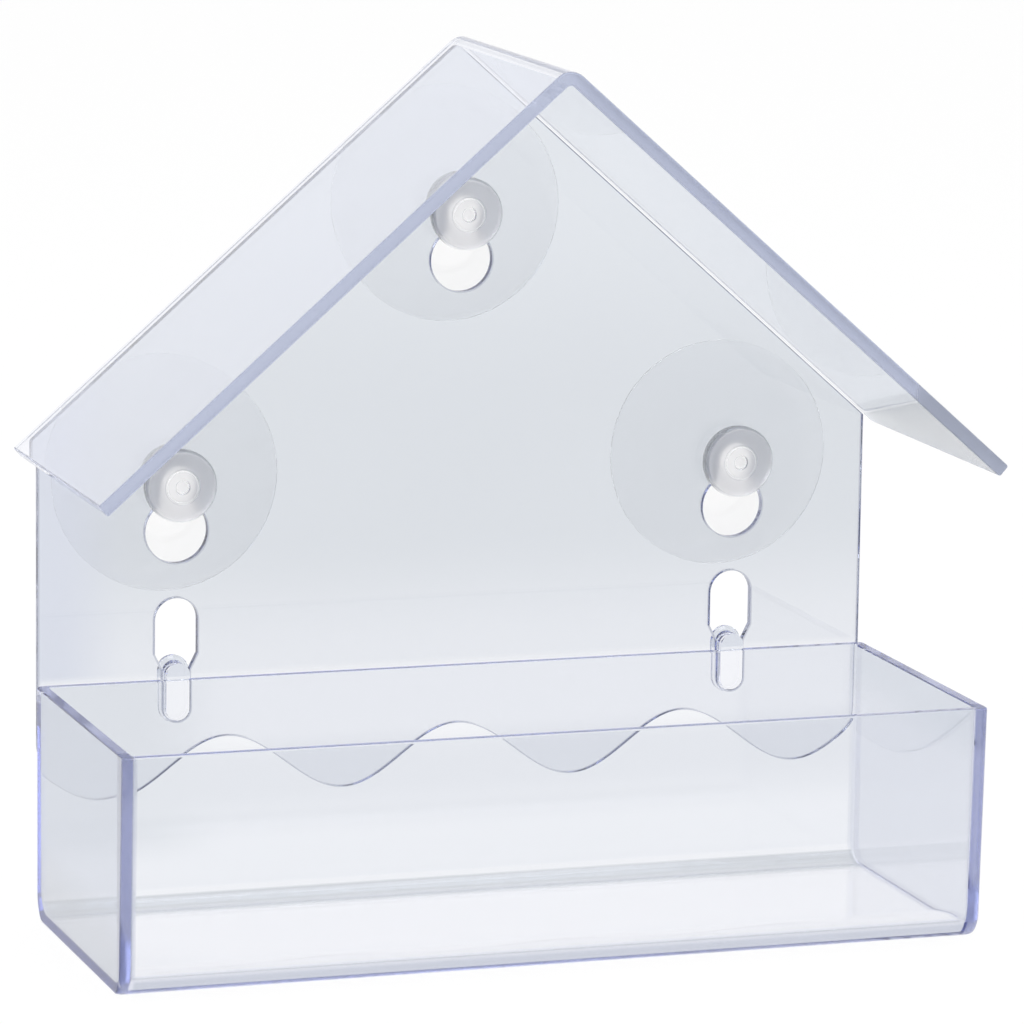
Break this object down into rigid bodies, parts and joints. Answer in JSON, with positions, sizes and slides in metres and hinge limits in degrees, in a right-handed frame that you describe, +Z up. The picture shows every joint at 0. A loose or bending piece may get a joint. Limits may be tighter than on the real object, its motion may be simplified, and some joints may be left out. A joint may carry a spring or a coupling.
{
  "type": "window bird feeder",
  "caption": "Clear house-shaped bird feeder held on a window pane by suction cups, with a folded roof and a seed tray that lifts off on hooks.",
  "frame": {"origin": "on the face of the window pane, midway between the axes of the two lower suction cups", "axes": "+X to the right along the pane, +Y into the pane, +Z up"},
  "size_m": [0.1574, 0.068, 0.1499],
  "materials": {
    "clear_sheet": "clear polished acrylic",
    "clear_soft": "clear soft vinyl"
  },
  "bodies": {
    "top_cup": {"suction_cup_top": "clear_soft"},
    "house": {"back_plate": "clear_sheet", "roof": "clear_sheet"},
    "left_cup": {"suction_cup_left": "clear_soft"},
    "right_cup": {"suction_cup_right": "clear_soft"},
    "tray": {"tray": "clear_sheet"}
  },
  "joints": [
    {"name": "house_lift", "type": "slide", "parent": "top_cup", "child": "house", "axis": [0, 0, 1], "range_m": [0, 0.0083]},
    {"name": "left_cup_slide", "type": "slide", "parent": "house", "child": "left_cup", "axis": [0, 0, -1], "range_m": [0, 0.0083]},
    {"name": "right_cup_slide", "type": "slide", "parent": "house", "child": "right_cup", "axis": [0, 0, -1], "range_m": [0, 0.0083]},
    {"name": "tray_lift", "type": "slide", "parent": "house", "child": "tray", "axis": [0, 0, 1], "range_m": [0, 0.0094]}
  ],
  "couplings": [
    {"joint": "left_cup_slide", "follows": "house_lift", "ratio": 1},
    {"joint": "right_cup_slide", "follows": "house_lift", "ratio": 1}
  ]
}
